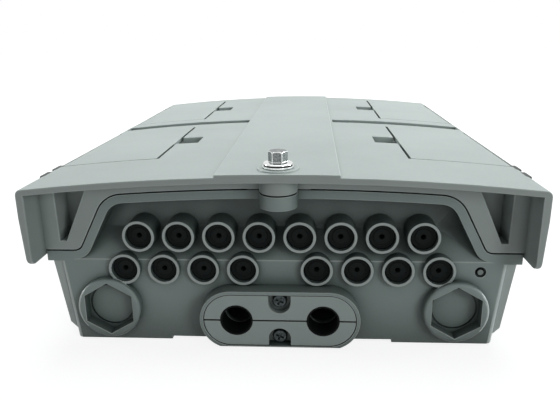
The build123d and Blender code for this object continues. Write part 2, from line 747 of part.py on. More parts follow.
# Hinge pins of the cover
with BuildPart() as hinge_pins:
    pin_half = knuckle_half + body_gap + lug_width
    for place in hinge_places:
        with BuildSketch(Plane.YZ.offset(place)):
            with Locations((hinge_y, hinge_z)):
                Circle(hinge_pin_radius)
        extrude(amount=pin_half, both=True)
hinge_pins.part.label = "hinge_pins"
export_step(hinge_pins.part, "parts/hinge_pins.step")

# Side flaps: a curved plate that ends in a hinge barrel
for name, (start, end) in flap_spans.items():
    for side, hand in ((-1, "left"), (1, "right")):
        with BuildPart() as flap:
            x0, x1 = sorted((side * flap_inner, side * flap_axis))
            with BuildSketch(section(end - flap_end_gap)):
                add(roof_strip(x0, x1, flap_thick, 0))
                with Locations((side * flap_axis, flap_axis_z)):
                    Circle(flap_barrel)
                    Circle(flap_pin_radius + pin_run, mode=Mode.SUBTRACT)
            extrude(amount=end - start - 2 * flap_end_gap)
        flap.part.label = f"flap_{name}_{hand}"
        export_step(flap.part, f"parts/flap_{name}_{hand}.step")

with BuildPart() as flap_pins:
    for side in (-1, 1):
        for start, end in flap_spans.values():
            with BuildSketch(section(end + flap_pin_grip)):
                with Locations((side * flap_axis, flap_axis_z)):
                    Circle(flap_pin_radius)
            extrude(amount=end - start + 2 * flap_pin_grip)
flap_pins.part.label = "flap_pins"
export_step(flap_pins.part, "parts/flap_pins.step")

# Lock bolt: hexagon head, flange and shank in one piece
with BuildPart() as bolt:
    with BuildSketch(Plane.XY.offset(bolt_flange_low)):
        with Locations((0, bolt_y)):
            Circle(bolt_flange_radius)
    extrude(amount=bolt_flange_thick)
    with BuildSketch(Plane.XY.offset(bolt_flange_low + bolt_flange_thick)):
        with Locations((0, bolt_y)):
            RegularPolygon(bolt_hex_flats / 2, 6, major_radius=False)
    extrude(amount=bolt_hex_high)
    with BuildSketch(Plane.XY.offset(end_height - bolt_engage)):
        with Locations((0, bolt_y)):
            Circle(bolt_radius)
    extrude(amount=bolt_flange_low - end_height + bolt_engage)
bolt.part.label = "lock_bolt"
export_step(bolt.part, "parts/lock_bolt.step")

with BuildPart() as washer:
    with BuildSketch(Plane.XY.offset(seat_top)):
        with Locations((0, bolt_y)):
            Circle(washer_radius)
            Circle(bolt_radius + clip_gap, mode=Mode.SUBTRACT)
    extrude(amount=washer_thick)
washer.part.label = "lock_washer"
export_step(washer.part, "parts/lock_washer.step")

# Clip that keeps the bolt in the cover and rises with it
with BuildPart() as clip:
    with BuildSketch(Plane.XY.offset(clip_top - clip_thick)):
        with Locations((0, bolt_y)):
            Circle(clip_radius)
            Circle(bolt_radius + bolt_run, mode=Mode.SUBTRACT)
    extrude(amount=clip_thick)
clip.part.label = "lock_clip"
export_step(clip.part, "parts/lock_clip.step")

# Brass insert in the tray's boss
with BuildPart() as insert:
    with BuildSketch(Plane.XY.offset(boss_low + insert_floor)):
        with Locations((0, bolt_y)):
            Circle(insert_radius)
            Circle(bolt_radius + insert_ease, mode=Mode.SUBTRACT)
    extrude(amount=end_height - boss_low - insert_floor)
insert.part.label = "lock_insert"
export_step(insert.part, "parts/lock_insert.step")

# Rubber plugs in the sixteen port tubes, each with a small blind hole in its face
for number, (x, z) in enumerate(port_spots, start=1):
    with BuildPart() as plug:
        with BuildSketch(section(tube_end_y)):
            with Locations((x, z)):
                Circle(tube_bore - plug_ease)
        extrude(amount=tube_end_y - port_face_y - plug_set_back)
        with BuildSketch(section(tube_end_y + plug_flange_thick)):
            with Locations((x, z)):
                Circle(tube_bore + plug_flange)
        extrude(amount=plug_flange_thick)
        with BuildSketch(section(port_face_y + plug_set_back + plug_hole_deep)):
            with Locations((x, z)):
                Circle(plug_hole)
        extrude(amount=plug_hole_deep, mode=Mode.SUBTRACT)
    plug.part.label = f"port_plug_{number:02d}"
    export_step(plug.part, f"parts/port_plug_{number:02d}.step")

# Cable gland: two clamp plates over a rubber block with two cable holes
gland_front = end_y - gland_proud + gland_ease
plate_back = gland_front + gland_plate_thick
for name, up in (("upper", 1), ("lower", -1)):
    with BuildPart() as plate:
        with BuildSketch(section(plate_back)):
            add(gland_outline())
            with Locations((0, gland_mid_height - up * (gland_height / 2 - gland_split / 2))):
                Rectangle(gland_width, gland_height, mode=Mode.SUBTRACT)
            with Locations(cable_spots):
                Circle(plate_hole, mode=Mode.SUBTRACT)
            with Locations((0, gland_mid_height + up * gland_screw_rise)):
                Circle(screw_radius + small_ease, mode=Mode.SUBTRACT)
        extrude(amount=gland_plate_thick)
        with BuildSketch(section(plate_back - gland_notch_floor)):
            with Locations((0, gland_mid_height + up * gland_screw_rise)):
                Circle(gland_notch)
            with Locations((0, gland_mid_height + up * (gland_screw_rise + gland_notch))):
                Rectangle(2 * gland_notch, 2 * gland_notch)
        extrude(amount=gland_plate_thick, mode=Mode.SUBTRACT)
    plate.part.label = f"gland_plate_{name}"
    export_step(plate.part, f"parts/gland_plate_{name}.step")

with BuildPart() as gland_rubber:
    with BuildSketch(section(end_y + gland_seat_deep)):
        add(gland_outline())
        with Locations(cable_spots):
            Circle(cable_hole, mode=Mode.SUBTRACT)
        with Locations(gland_screw_spots):
            Circle(screw_radius + small_ease, mode=Mode.SUBTRACT)
    extrude(amount=end_y + gland_seat_deep - plate_back)
    with BuildSketch(section(plate_back)):
        with Locations(cable_spots):
            Circle(plate_hole - small_ease)
            Circle(cable_hole, mode=Mode.SUBTRACT)
    extrude(amount=gland_plate_thick)
gland_rubber.part.label = "gland_rubber"
export_step(gland_rubber.part, "parts/gland_rubber.step")

with BuildPart() as gland_screws:
    with BuildSketch(section(plate_back - gland_notch_floor)):
        with Locations(gland_screw_spots):
            Circle(screw_head)
    extrude(amount=screw_head_thick)
    with BuildSketch(section(end_y + gland_seat_deep + gland_seat_wall)):
        with Locations(gland_screw_spots):
            Circle(screw_radius)
    extrude(amount=end_y + gland_seat_deep + gland_seat_wall - plate_back + gland_notch_floor)
gland_screws.part.label = "gland_screws"
export_step(gland_screws.part, "parts/gland_screws.step")

# Vent plug beside the ports
with BuildPart() as vent:
    with BuildSketch(section(end_y + vent_deep)):
        with Locations((vent_spread, vent_height)):
            Circle(vent_radius - vent_gap)
    extrude(amount=vent_deep - small_ease)
    with BuildSketch(section(end_y + wall)):
        with Locations((vent_spread, vent_height)):
            Circle(vent_stem)
    extrude(amount=wall - vent_deep)
vent.part.label = "vent_plug"
export_step(vent.part, "parts/vent_plug.step")

# Threaded inserts for the wall bracket, in the back of the tray
with BuildPart() as inserts:
    with BuildSketch(Plane.XY.offset(back_recess_deep)):
        with Locations(bracket_spots):
            Circle(bracket_insert)
            Circle(bracket_bore, mode=Mode.SUBTRACT)
    extrude(amount=bracket_boss_high - floor_wall / 2)
inserts.part.label = "bracket_inserts"
export_step(inserts.part, "parts/bracket_inserts.step")

# Saddles that hold the two feeder cables down on their bed
saddle_low = gland_mid_height - saddle_radius
saddle_y = front_y + anchor_back + anchor_depth
with BuildPart() as saddles:
    for x, z in cable_spots:
        with BuildSketch(section(saddle_y)):
            with Locations((x, z)):
                Circle(saddle_radius + saddle_wall)
            with Locations((x, (z + saddle_low) / 2)):
                Rectangle(2 * (saddle_radius + saddle_wall), z - saddle_low)
            with Locations((x, saddle_low + saddle_wall / 2)):
                Rectangle(2 * (saddle_radius + saddle_wall + saddle_ear), saddle_wall)
            with Locations((x, z)):
                Circle(saddle_radius, mode=Mode.SUBTRACT)
            with Locations((x, saddle_low)):
                Rectangle(2 * saddle_radius, 2 * saddle_radius, mode=Mode.SUBTRACT)
            with Locations((x, saddle_low - spare / 2)):
                Rectangle(4 * saddle_radius + spare, spare, mode=Mode.SUBTRACT)
        extrude(amount=anchor_depth)
    with BuildSketch(Plane.XY.offset(saddle_low)):
        with Locations(anchor_spots):
            Circle(screw_radius + small_ease)
    extrude(amount=saddle_wall, mode=Mode.SUBTRACT)
saddles.part.label = "cable_saddles"
export_step(saddles.part, "parts/cable_saddles.step")

# Adapter panel: a folded sheet with sixteen windows
panel_y = front_y + panel_back
adapter_spots = [(adapter_pitch * (i - (ports_per_row - 1) / 2), z)
                 for z in adapter_rows for i in range(ports_per_row)]
with BuildPart() as panel:
    with BuildSketch(section(panel_y + panel_thick)):
        with Locations((0, (floor_wall + panel_high) / 2)):
            Rectangle(2 * panel_half, panel_high - floor_wall)
        with Locations(adapter_spots):
            Rectangle(adapter_width + 2 * adapter_ease, adapter_height + 2 * adapter_ease, mode=Mode.SUBTRACT)
    extrude(amount=panel_thick)
    with BuildSketch(Plane.XY.offset(floor_wall)):
        with Locations((0, panel_y + panel_foot / 2)):
            Rectangle(2 * panel_half, panel_foot)
        with Locations(panel_screw_spots):
            Circle(screw_radius + small_ease, mode=Mode.SUBTRACT)
    extrude(amount=panel_thick)
panel.part.label = "adapter_panel"
export_step(panel.part, "parts/adapter_panel.step")

# Screws of the saddles, of the panel's foot and of the splice tray
with BuildPart() as inner_screws:
    for spots, shank, top, bottom in (
            (anchor_spots, screw_radius, saddle_low + saddle_wall, floor_wall),
            (panel_screw_spots, screw_radius, floor_wall + panel_thick, floor_wall - panel_screw_deep),
            (splice_spots, splice_screw, splice_z + splice_sheet, splice_z - splice_screw_deep)):
        with BuildSketch(Plane.XY.offset(top)):
            with Locations(spots):
                Circle(screw_head - 2 * small_ease)
        extrude(amount=screw_head_thick)
        with BuildSketch(Plane.XY.offset(bottom)):
            with Locations(spots):
                Circle(shank)
        extrude(amount=top - bottom)
inner_screws.part.label = "inner_screws"
export_step(inner_screws.part, "parts/inner_screws.step")

# Sixteen fibre adapters, snapped through the panel, with a dust cap on each end
adapter_middle = panel_y + panel_thick / 2
for number, (x, z) in enumerate(adapter_spots, start=1):
    with BuildPart() as adapter:
        with BuildSketch(section(adapter_middle + adapter_length / 2)):
            with Locations((x, z)):
                Rectangle(adapter_width, adapter_height)
        extrude(amount=adapter_length)
        with BuildSketch(section(panel_y)):
            with Locations((x, z)):
                Rectangle(adapter_width + 2 * adapter_flange, adapter_height + 2 * adapter_flange)
        extrude(amount=adapter_flange)
    adapter.part.label = f"fibre_adapter_{number:02d}"
    export_step(adapter.part, f"parts/fibre_adapter_{number:02d}.step")

with BuildPart() as caps:
    for back in (adapter_middle - adapter_length / 2, adapter_middle + adapter_length / 2 + cap_length):
        with BuildSketch(section(back)):
            with Locations(adapter_spots):
                Circle(cap_radius)
        extrude(amount=cap_length)
caps.part.label = "adapter_caps"
export_step(caps.part, "parts/adapter_caps.step")

# Splice tray on four posts, its comb of splice holders, its lid and its screws
with BuildPart() as splice_tray:
    with BuildSketch(Plane.XY.offset(splice_z)):
        with Locations((0, splice_middle)):
            RectangleRounded(splice_width, splice_length, splice_corner)
    extrude(amount=splice_deep)
    with BuildSketch(Plane.XY.offset(splice_z + splice_sheet)):
        with Locations((0, splice_middle)):
            RectangleRounded(splice_width - 2 * splice_sheet, splice_length - 2 * splice_sheet,
                             splice_corner - splice_sheet)
        with Locations(splice_hubs):
            Circle(splice_hub, mode=Mode.SUBTRACT)
            Circle(splice_hub - splice_sheet)
    extrude(amount=splice_deep, mode=Mode.SUBTRACT)
    with BuildSketch(Plane.XY.offset(splice_z)):
        with Locations(splice_spots):
            Circle(splice_screw + small_ease)
    extrude(amount=splice_sheet, mode=Mode.SUBTRACT)
splice_tray.part.label = "splice_tray"
export_step(splice_tray.part, "parts/splice_tray.step")

with BuildPart() as holder:
    comb_width = holder_slots * holder_pitch + splice_sheet
    with BuildSketch(Plane.XY.offset(splice_z + splice_sheet)):
        with Locations((0, splice_middle)):
            Rectangle(holder_length, comb_width)
    extrude(amount=splice_deep - 2 * splice_sheet)
    with BuildSketch(Plane.XY.offset(splice_z + 2 * splice_sheet)):
        with Locations((0, splice_middle)):
            with GridLocations(0, holder_pitch, 1, holder_slots):
                Rectangle(holder_length, holder_pitch - splice_sheet)
    extrude(amount=splice_deep, mode=Mode.SUBTRACT)
holder.part.label = "splice_holder"
export_step(holder.part, "parts/splice_holder.step")

with BuildPart() as splice_lid:
    with BuildSketch(Plane.XY.offset(splice_z + splice_deep)):
        with Locations((0, splice_middle)):
            RectangleRounded(splice_width, splice_length, splice_corner)
    extrude(amount=splice_lid_thick)
splice_lid.part.label = "splice_lid"
export_step(splice_lid.part, "parts/splice_lid.step")

# Splitter module on the tray's floor, behind the splice tray
with BuildPart() as splitter:
    with BuildSketch(Plane.XY.offset(floor_wall)):
        with Locations((0, tray_far_y - wall - splitter_gap - splitter_length / 2)):
            RectangleRounded(splitter_width, splitter_length, 3)
    extrude(amount=splitter_high)
    fillet(splitter.edges().group_by(Axis.Z)[-1], radius=1)
splitter.part.label = "splitter_module"
export_step(splitter.part, "parts/splitter_module.step")
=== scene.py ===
import bpy
import math
from mathutils import Matrix, Vector


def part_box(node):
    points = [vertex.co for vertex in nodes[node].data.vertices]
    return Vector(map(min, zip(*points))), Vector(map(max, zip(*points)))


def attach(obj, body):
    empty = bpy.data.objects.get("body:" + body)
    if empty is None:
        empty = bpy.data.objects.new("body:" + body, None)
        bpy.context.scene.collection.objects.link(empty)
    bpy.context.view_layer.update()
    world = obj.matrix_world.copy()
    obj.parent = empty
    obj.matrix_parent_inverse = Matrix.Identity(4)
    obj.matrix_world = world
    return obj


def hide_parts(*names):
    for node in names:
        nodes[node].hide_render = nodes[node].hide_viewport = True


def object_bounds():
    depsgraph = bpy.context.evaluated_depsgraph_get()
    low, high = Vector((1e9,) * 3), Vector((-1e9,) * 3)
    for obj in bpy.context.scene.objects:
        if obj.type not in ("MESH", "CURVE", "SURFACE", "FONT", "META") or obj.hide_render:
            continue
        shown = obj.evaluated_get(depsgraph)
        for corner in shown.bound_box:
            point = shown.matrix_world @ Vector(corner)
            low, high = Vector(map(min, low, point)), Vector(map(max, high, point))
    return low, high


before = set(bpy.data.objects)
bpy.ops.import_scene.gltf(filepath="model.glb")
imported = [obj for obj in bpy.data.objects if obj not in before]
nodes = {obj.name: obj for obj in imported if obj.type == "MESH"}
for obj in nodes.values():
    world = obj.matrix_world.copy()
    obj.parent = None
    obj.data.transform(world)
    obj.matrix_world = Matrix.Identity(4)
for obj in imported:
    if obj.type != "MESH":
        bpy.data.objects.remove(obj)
cad_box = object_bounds()
scene = bpy.context.scene
scene.view_settings.view_transform = "Standard"

# The view: a little above the roof, close to the cable end and turned slightly to the right,
# so that the roof runs away strongly while the end wall is seen almost square.
camera_place = Vector((0.015833, -0.405096, 0.153323))
yaw, dip, roll = -0.058, 0.287, -0.013
picture_width, focal_pixels, sensor_width = 560, 580, 36
ahead = Vector((math.sin(yaw) * math.cos(dip), math.cos(yaw) * math.cos(dip), -math.sin(dip)))
level_right = Vector((math.cos(yaw), -math.sin(yaw), 0))
level_up = level_right.cross(ahead)
right = level_right * math.cos(roll) + level_up * math.sin(roll)
up = level_up * math.cos(roll) - level_right * math.sin(roll)
camera_data = bpy.data.cameras.new("view")
camera_data.sensor_width = sensor_width
camera_data.lens = focal_pixels / picture_width * sensor_width
camera_data.clip_start = 0.01
camera = bpy.data.objects.new("view", camera_data)
scene.collection.objects.link(camera)
camera_turn = Matrix((right, up, -ahead)).transposed().to_4x4()
camera.matrix_world = Matrix.Translation(camera_place) @ camera_turn
scene.camera = camera


# The studio: matt white paper under the box and a white room round it. Both show as pure
# white to the lens and in reflections, and the paper still takes the soft shadow of the box.
def linear(code):
    """A colour written as an sRGB hex code, turned to linear values."""
    parts = [int(code[i:i + 2], 16) / 255 for i in (0, 2, 4)]
    return tuple(c / 12.92 if c <= 0.04045 else ((c + 0.055) / 1.055) ** 2.4 for c in parts) + (1,)


def add_node(tree, kind, settings={}, **sockets):
    """Adds a node with its settings, and gives each input a value or a link; i0, i1 count them."""
    node = tree.nodes.new(kind)
    for name, value in settings.items():
        setattr(node, name, value)
    for name, value in sockets.items():
        counted = name[1:].isdigit()
        socket = node.inputs[int(name[1:]) if counted else name.replace("_", " ")]
        if isinstance(value, bpy.types.NodeSocket):
            tree.links.new(value, socket)
        else:
            socket.default_value = value
    return node


def new_tree(holder):
    """Turns on the nodes of a material or a world and empties them."""
    holder.use_nodes = True
    holder.node_tree.nodes.clear()
    return holder.node_tree


def seen_directly(tree):
    """One for what the lens sees, also in a reflection or through clear plastic; else nought."""
    rays = add_node(tree, "ShaderNodeLightPath").outputs
    seen = rays["Is Camera Ray"]
    for ray in ("Is Glossy Ray", "Is Transmission Ray"):
        either = add_node(tree, "ShaderNodeMath", {"operation": "MAXIMUM"}, i0=seen, i1=rays[ray])
        seen = either.outputs[0]
    return seen


# Uncoated paper: dull, without grain at this distance. Near the box it glows a little less,
# so that the shadow shows, and it is pure white from 0.6 m outwards.
paper = bpy.data.materials.new("studio_paper_matt_white")
tree = new_tree(paper)
spot = add_node(tree, "ShaderNodeTexCoord").outputs["Object"]
reach = add_node(tree, "ShaderNodeVectorMath", {"operation": "LENGTH"}, i0=spot)
far_white = add_node(tree, "ShaderNodeMapRange", Value=reach.outputs["Value"],
                     From_Min=0.25, From_Max=0.6, To_Min=0.86, To_Max=1.0)
glow_level = add_node(tree, "ShaderNodeMath", {"operation": "MULTIPLY"},
                      i0=seen_directly(tree), i1=far_white.outputs[0])
glow = add_node(tree, "ShaderNodeEmission", Color=(1, 1, 1, 1), Strength=glow_level.outputs[0])
matt = add_node(tree, "ShaderNodeBsdfDiffuse", Color=linear("989898"))
both = add_node(tree, "ShaderNodeAddShader", i0=glow.outputs[0], i1=matt.outputs[0])
add_node(tree, "ShaderNodeOutputMaterial", Surface=both.outputs[0])

paper_width, paper_drop = 7, 0.0004
bpy.ops.object.select_all(action="DESELECT")
bpy.ops.mesh.primitive_plane_add(size=paper_width, location=(0, 0, -paper_drop))
floor = bpy.context.object
floor.name = "paper_floor"
floor.data.materials.append(paper)

room = bpy.data.worlds.new("white_room")
scene.world = room
tree = new_tree(room)
room_level = add_node(tree, "ShaderNodeMapRange", Value=seen_directly(tree),
                      To_Min=0.12, To_Max=1.0)
sky = add_node(tree, "ShaderNodeBackground", Color=(1, 1, 1, 1), Strength=room_level.outputs[0])
add_node(tree, "ShaderNodeOutputWorld", Surface=sky.outputs[0])

cool_white = (0.93, 1.0, 0.985)
for name, place, target, size, power in (
        ("roof_softbox", (0.10, 0.35, 1.30), (0, 0, 0.05), 1.2, 13.6),
        ("right_softbox", (1.00, -1.25, 0.50), (0, -0.15, 0.04), 0.5, 4.3),
        ("left_side_softbox", (-1.10, 0.10, 0.16), (0, 0, 0.04), 0.35, 3.6),
        ("right_side_softbox", (1.10, 0.10, 0.16), (0, 0, 0.04), 0.35, 4.4)):
    light = bpy.data.lights.new(name, "AREA")
    light.size = size
    light.energy = power
    light.color = cool_white
    lamp = bpy.data.objects.new(name, light)
    scene.collection.objects.link(lamp)
    lamp.location = place
    lamp.rotation_euler = (Vector(target) - Vector(place)).to_track_quat("-Z", "Y").to_euler()


# Cover: one large injection moulding in light grey ASA with a fine spark-eroded skin, its
# arched roof and eaves in one with the side walls. Every outer edge is eased, as the mould's are.
def pick(piece):
    """Selects one piece alone and makes it the active one."""
    bpy.ops.object.select_all(action="DESELECT")
    piece.select_set(True)
    bpy.context.view_layer.objects.active = piece


same_place = 2e-6
flat_turn, eased_turn, sharp_turn = math.radians(0.5), math.radians(35), math.radians(40)
kept_margin = 0.007


def eased_copy(name, body, material, edge_material, ease, sources, seam=None, leave=()):
    """Copies CAD nodes into one piece with eased edges, which then stands for them.

    seam is the y at which two nodes meet, whose faces go. leave lists (spot, size) of the places
    whose edges stay sharp; the faces up to kept_margin round them keep their triangles.
    """
    pick(nodes[sources[0]])
    for source in sources[1:]:
        nodes[source].select_set(True)
    bpy.ops.object.duplicate()
    if len(sources) > 1:
        bpy.ops.object.join()
    piece = bpy.context.object
    piece.name = name
    piece.data.materials.clear()
    piece.data.materials.append(material)
    piece.data.materials.append(edge_material)
    bpy.ops.object.mode_set(mode="EDIT")
    bpy.ops.mesh.select_mode(type="FACE")
    bpy.ops.mesh.select_all(action="SELECT")
    bpy.ops.mesh.remove_doubles(threshold=same_place)
    if seam is not None:
        bpy.ops.mesh.select_all(action="DESELECT")
        bpy.ops.object.mode_set(mode="OBJECT")
        points = piece.data.vertices
        for face in piece.data.polygons:
            face.select = all(abs(points[v].co.y - seam) < same_place for v in face.vertices)
        bpy.ops.object.mode_set(mode="EDIT")
        bpy.ops.mesh.delete(type="FACE")
        bpy.ops.mesh.select_all(action="SELECT")
    bpy.ops.object.mode_set(mode="OBJECT")
    for face in piece.data.polygons:
        face.select = not any((face.center - Vector(spot)).length < size + kept_margin
                              for spot, size in leave)
    bpy.ops.object.mode_set(mode="EDIT")
    bpy.ops.mesh.dissolve_limited(angle_limit=flat_turn)
    bpy.ops.mesh.select_mode(type="EDGE")
    bpy.ops.mesh.select_all(action="DESELECT")
    bpy.ops.mesh.edges_select_sharp(sharpness=eased_turn)
    bpy.ops.object.mode_set(mode="OBJECT")
    sides = {}
    for face in piece.data.polygons:
        face.select = False
        ring = list(face.vertices)
        for start, stop in zip(ring, ring[1:] + ring[:1]):
            sides[start, stop] = face.normal.copy()
    for edge in piece.data.edges:
        start, stop = (piece.data.vertices[v].co for v in edge.vertices)
        one = sides.get(tuple(edge.vertices), Vector())
        other = sides.get(tuple(edge.vertices)[::-1], Vector())
        inner_corner = one.cross(stop - start).dot(other) > 0
        left_sharp = any((end - Vector(spot)).length < size
                         for spot, size in leave for end in (start, stop))
        edge.select = edge.select and not inner_corner and not left_sharp
    bpy.ops.object.mode_set(mode="EDIT")
    bpy.ops.mesh.bevel(offset=ease, segments=2, affect="EDGES", clamp_overlap=False, material=1,
                       miter_outer="ARC")
    bpy.ops.object.mode_set(mode="OBJECT")
    finish_piece(piece, body)
    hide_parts(*sources)
    return piece


def finish_piece(piece, body, material=None):
    """Smooths a finished mesh, puts its place in the mesh, and gives it its body and finish."""
    pick(piece)
    bpy.ops.object.transform_apply(location=True, rotation=True, scale=True)
    bpy.ops.object.shade_smooth_by_angle(angle=sharp_turn)
    bpy.ops.object.mode_set(mode="EDIT")
    bpy.ops.mesh.select_mode(type="EDGE")
    bpy.ops.mesh.select_all(action="DESELECT")
    bpy.ops.mesh.edges_select_sharp(sharpness=sharp_turn)
    bpy.ops.mesh.mark_sharp()
    bpy.ops.object.mode_set(mode="OBJECT")
    even = piece.modifiers.new("even", "WEIGHTED_NORMAL")
    even.keep_sharp = True
    bpy.ops.object.modifier_apply(modifier=even.name)
    if material:
        piece.data.materials.clear()
        piece.data.materials.append(material)
    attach(piece, body)


def moulded(name, code, shade_code, rough, grain_mm, relief_mm, cloud_mm=70, painted_shade_mm=0,
            painted_shade_code=None, shine=0.5):
    """A moulded plastic: clouded colour, the grain of an eroded mould, painted shade in its
    corners.
    """
    material = bpy.data.materials.new(name)
    tree = new_tree(material)
    place = add_node(tree, "ShaderNodeTexCoord").outputs["Object"]
    cloud = add_node(tree, "ShaderNodeTexNoise", Vector=place, Scale=1000 / cloud_mm, Detail=5.0,
                     Roughness=0.62)
    shade = add_node(tree, "ShaderNodeMapRange", Value=cloud.outputs["Fac"],
                     From_Min=0.38, From_Max=0.68)
    colour = add_node(tree, "ShaderNodeMix", {"data_type": "RGBA"}, i0=shade.outputs[0],
                      i6=linear(code), i7=linear(shade_code))
    # Painted shade: where ambient occlusion finds surfaces close by, the colour darkens towards
    # the given shade colour.
    if painted_shade_mm:
        corner = add_node(tree, "ShaderNodeAmbientOcclusion", {"samples": 6},
                          Distance=painted_shade_mm / 1000)
        out_of_shade = add_node(tree, "ShaderNodeMapRange", Value=corner.outputs["AO"],
                            From_Min=0.25, From_Max=0.95)
        colour = add_node(tree, "ShaderNodeMix", {"data_type": "RGBA"}, i0=out_of_shade.outputs[0],
                          i6=linear(painted_shade_code), i7=colour.outputs[2])
    grain = add_node(tree, "ShaderNodeTexNoise", Vector=place, Scale=1000 / grain_mm, Detail=3.0,
                     Roughness=0.55)
    gloss = add_node(tree, "ShaderNodeMapRange", Value=grain.outputs["Fac"],
                     From_Min=0.3, From_Max=0.7, To_Min=rough - 0.05, To_Max=rough + 0.07)
    relief = add_node(tree, "ShaderNodeBump", Strength=0.8, Distance=relief_mm / 1000,
                      Height=grain.outputs["Fac"])
    skin = add_node(tree, "ShaderNodeBsdfPrincipled", Base_Color=colour.outputs[2], IOR=1.5,
                    Specular_IOR_Level=shine, Roughness=gloss.outputs[0],
                    Normal=relief.outputs[0])
    add_node(tree, "ShaderNodeOutputMaterial", Surface=skin.outputs[0])
    return material


# ASA with a satin skin: a pale green-grey. The mould's grain is about 0.3 mm on the real
# box and is drawn at 0.9 mm, so that it shows. The eased edges are painted paler, a painted
# highlight, and both finishes get painted shade in their corners.
grain = 0.9
asa_cover = moulded("moulded_asa_light_grey", "bec6c4", "b5bdbb", 0.44, grain, 0.02,
                    painted_shade_mm=5, painted_shade_code="6f7976")
asa_edge_highlight = moulded("asa_painted_edge_highlight", "ccd4d2", "c3cbc9", 0.36, grain, 0.01, cloud_mm=20,
                   painted_shade_mm=4, painted_shade_code="4d5654")
# An eased edge would run out into a spike at the lip over the boss, so it stays sharp there.
lip_over_boss = ((0, -0.1402, 0.0805), 0.0095)
eased_copy("cover_shell", "cover", asa_cover, asa_edge_highlight, 0.0006, ["cover"],
           leave=[lip_over_boss])

# Four side flaps in the roof, moulded of the same ASA; each turns on a barrel along the
# outer edge and is lifted with a fingertip in the recess at its inner edge.
# The same satin as the cover's, a hair paler, with less painted shade in its small corners.
asa_flap = moulded("moulded_asa_flap", "c0c8c6", "b8c0be", 0.44, grain, 0.02,
                   painted_shade_mm=3, painted_shade_code="6f7976")
for row in ("near", "far"):
    for hand in ("left", "right"):
        eased_copy(f"roof_flap_{row}_{hand}", f"{row}_{hand}_flap",
                   asa_flap, asa_edge_highlight, 0.0003, [f"flap_{row}_{hand}"])

# Tray and end wall: one deep moulding of the same ASA, a touch darker, with sixteen port
# tubes, the collar of the oval gland, and the cups of two blanked gland seats.
# Shade is painted deep between the tubes and in the recess; the tube mouths are painted pale and
# bright, a painted highlight.
asa_tray = moulded("moulded_asa_tray", "acb9b6", "a3b0ad", 0.46, grain, 0.02,
                   painted_shade_mm=26, painted_shade_code="2b3a37")
# A paler finish of the same ASA, used as a painted highlight on the tray.
asa_painted_highlight = moulded("asa_tray_painted_highlight", "d3dbd9", "cad2d0", 0.34, grain, 0.01, cloud_mm=20)
end_face = -0.1405
port_face = end_face - 0.003
tray_seam = -0.1305
cup = (0.0863, -0.1390, 0.0190, 0.0125)
boss = (0, -0.1370, 0.0800, 0.0120)
near_rim_corner = (0.1155, -0.1400, 0.0430, 0.0060)
far_rim_corner = (0.1155, 0.1415, 0.0430, 0.0080)
spiky_places = [((side * x, y, z), size) for side in (-1, 1)
                for x, y, z, size in (cup, boss, near_rim_corner, far_rim_corner)]
tray_piece = eased_copy("tray_shell", "tray", asa_tray, asa_edge_highlight, 0.0003,
                        ["base_tray", "end_wall"], seam=tray_seam, leave=spiky_places)
tray_piece.data.materials.append(asa_painted_highlight)
painted_highlight_slot = 2
mouth_depth, mouths_low, mouths_side = 0.0006, 0.030, 0.079
corner_side, corner_top = 0.098, 0.043
flank_side, flank_top, flank_near, flank_far = 0.104, 0.0425, -0.1395, -0.125
# Painted highlight: the tube mouths, the rounded lower corners of the end wall and the fronts of
# the flanks take the paler finish.
for face in tray_piece.data.polygons:
    side, y, z = abs(face.center.x), face.center.y, face.center.z
    mouth = abs(y - port_face) < mouth_depth and z > mouths_low and side < mouths_side
    turned_corner = face.normal.y < -0.2 < 0.2 < abs(face.normal.x)
    corner = side > corner_side and z < corner_top and turned_corner
    flank = side > flank_side and face.normal.y < -0.7 and flank_near < y < flank_far
    if mouth or corner or (flank and z < flank_top):
        face.material_index = painted_highlight_slot


# Port plugs: soft black EPDM, pressed into the tubes from inside. The face sits a little
# behind the mouth, with a shallow dished ring and the pilot hole that the fitter pierces.
def turned(name, place, axis, sides, profile):
    """A closed turned shape: rings of (radius, distance along the axis) in mm, in their order."""
    direction = Vector(("X" == axis, "Y" == axis, "Z" == axis))
    turn = {"X": (0, math.pi / 2, 0), "Y": (math.pi / 2, 0, 0), "Z": (0, 0, 0)}[axis]
    place = Vector(place)
    first_radius, first_distance = profile[0]
    bpy.ops.object.select_all(action="DESELECT")
    bpy.ops.mesh.primitive_circle_add(
        vertices=sides, radius=first_radius / 1000, fill_type="NGON",
        location=place + direction * first_distance / 1000, rotation=turn)
    piece = bpy.context.object
    piece.name = name
    bpy.ops.object.mode_set(mode="EDIT")
    bpy.ops.mesh.select_all(action="SELECT")
    for (r0, h0), (r1, h1) in zip(profile, profile[1:]):
        step = direction * (h1 - h0) / 1000
        bpy.ops.mesh.extrude_region_move(TRANSFORM_OT_translate={"value": step})
        grow = [r1 / r0] * 3
        grow["XYZ".index(axis)] = 1
        bpy.ops.transform.resize(value=grow, center_override=place)
    bpy.ops.mesh.select_all(action="SELECT")
    bpy.ops.mesh.normals_make_consistent(inside=False)
    bpy.ops.object.mode_set(mode="OBJECT")
    return piece


def copied(piece, name, shift):
    """A copy of a piece with its own mesh, moved by shift."""
    pick(piece)
    bpy.ops.object.duplicate()
    twin = bpy.context.object
    twin.name = name
    bpy.ops.transform.translate(value=shift)
    return twin


